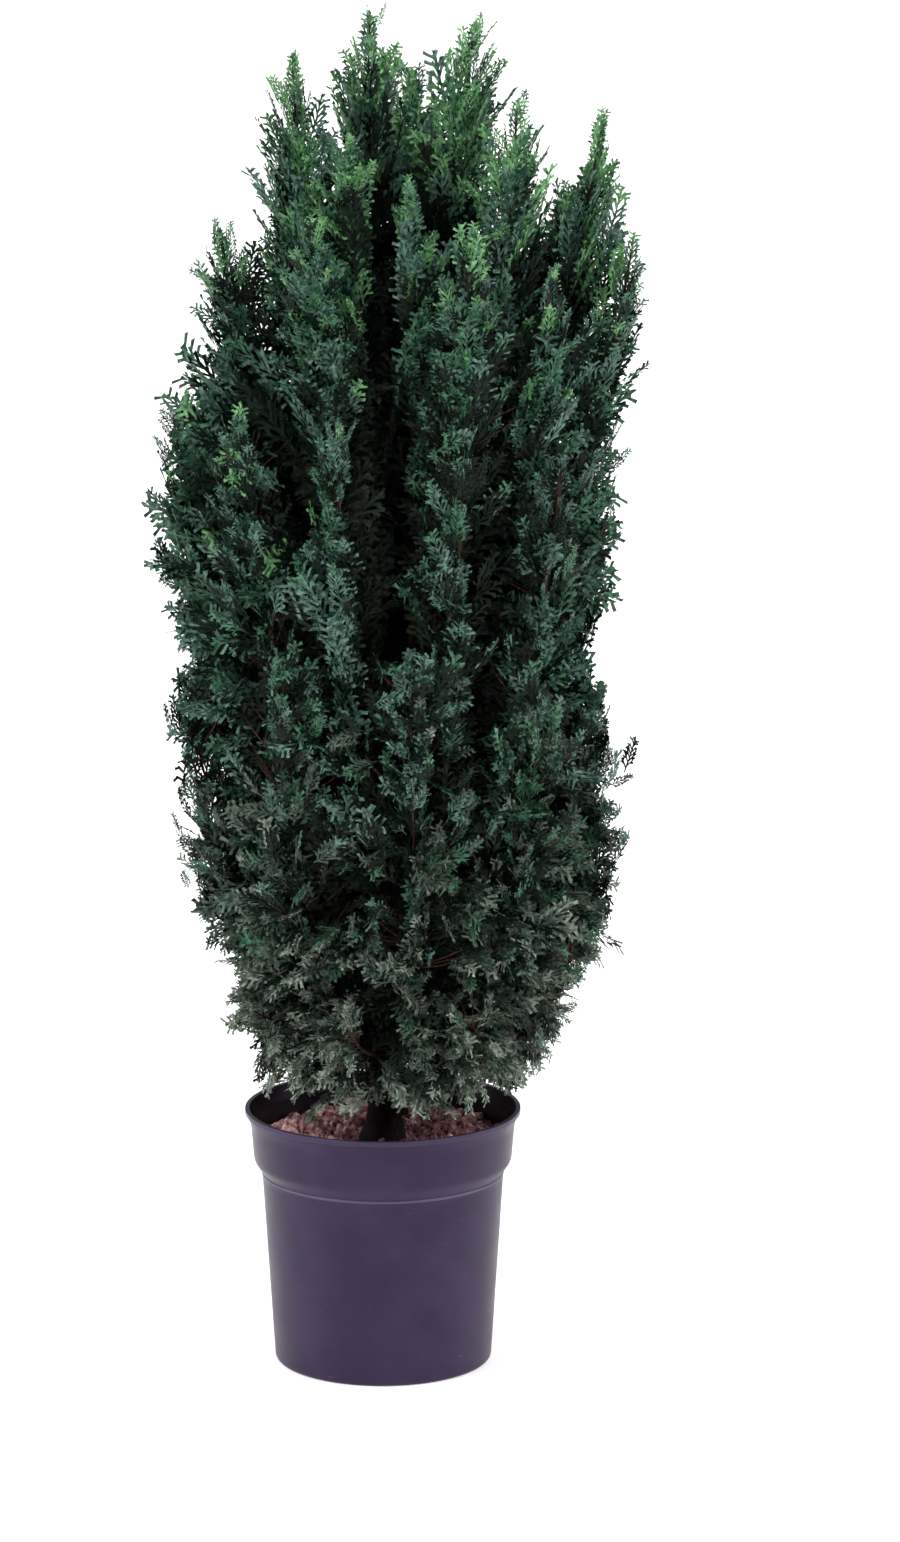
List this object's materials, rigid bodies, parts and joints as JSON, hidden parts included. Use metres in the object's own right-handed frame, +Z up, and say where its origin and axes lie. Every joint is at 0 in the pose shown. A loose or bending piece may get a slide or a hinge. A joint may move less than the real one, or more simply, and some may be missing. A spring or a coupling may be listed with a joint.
{
  "type": "potted false cypress",
  "caption": "Upright evergreen shrub with feathery plumes of scale-leaved sprays on boughs and a leaning trunk, in peat in a round tapered nursery pot with a stepped band and rolled lip.",
  "frame": {"origin": "centre of the pot's flat underside", "axes": "+Z up, out of the top of the crown; -Y towards the front of the plant; +X to the viewer's right of the front"},
  "size_m": [0.4928, 0.4357, 1.272],
  "materials": {
    "pot_plastic": "moulded purple-grey plastic with a soft sheen",
    "peat": "dry fibrous peat",
    "trunk_bark": "stringy red-brown bark",
    "bough_bark": "thin red-brown bark",
    "foliage_top": "fresh green scale leaves with yellow-green tips",
    "foliage_upper": "green scale leaves",
    "foliage_middle": "mid to blue-green scale leaves",
    "foliage_lower": "dull grey-green scale leaves",
    "foliage_skirt": "dull olive scale leaves with brownish parts"
  },
  "bodies": {
    "root": {"bough_middle_front_left": "bough_bark", "bough_middle_front_right": "bough_bark", "bough_middle_left": "bough_bark", "bough_middle_right": "bough_bark", "bough_top_back": "bough_bark", "bough_top_far_right": "bough_bark", "bough_top_front": "bough_bark", "bough_top_front_left": "bough_bark", "bough_top_front_right": "bough_bark", "bough_top_left": "bough_bark", "bough_top_right": "bough_bark", "bough_top_shoulder": "bough_bark", "bough_upper_back": "bough_bark", "bough_upper_front_left": "bough_bark", "bough_upper_front_right": "bough_bark", "bough_upper_left": "bough_bark", "bough_upper_left_back": "bough_bark", "bough_upper_right_back": "bough_bark", "bough_upper_right_front": "bough_bark", "foliage_lower_back_left": "foliage_lower", "foliage_lower_back_right": "foliage_lower", "foliage_lower_front": "foliage_lower", "foliage_lower_front_left": "foliage_lower", "foliage_lower_front_right": "foliage_lower", "foliage_lower_left": "foliage_lower", "foliage_lower_right": "foliage_lower", "foliage_middle_back": "foliage_middle", "foliage_middle_front_left": "foliage_middle", "foliage_middle_front_right": "foliage_middle", "foliage_middle_left": "foliage_middle", "foliage_middle_left_back": "foliage_middle", "foliage_middle_left_front": "foliage_middle", "foliage_middle_right": "foliage_middle", "foliage_middle_right_back": "foliage_middle", "foliage_middle_right_front": "foliage_middle", "foliage_skirt_back": "foliage_skirt", "foliage_skirt_front_left": "foliage_skirt", "foliage_skirt_front_right": "foliage_skirt", "foliage_skirt_left": "foliage_skirt", "foliage_skirt_right": "foliage_skirt", "foliage_top_back": "foliage_top", "foliage_top_center": "foliage_top", "foliage_top_far_right": "foliage_top", "foliage_top_front": "foliage_top", "foliage_top_front_left": "foliage_top", "foliage_top_front_right": "foliage_top", "foliage_top_left": "foliage_top", "foliage_top_right": "foliage_top", "foliage_top_shoulder": "foliage_top", "foliage_upper_back": "foliage_upper", "foliage_upper_front_left": "foliage_upper", "foliage_upper_front_right": "foliage_upper", "foliage_upper_left": "foliage_upper", "foliage_upper_left_back": "foliage_upper", "foliage_upper_right_back": "foliage_upper", "foliage_upper_right_front": "foliage_upper", "pot": "pot_plastic", "soil": "peat", "trunk": "trunk_bark"}
  },
  "joints": []
}
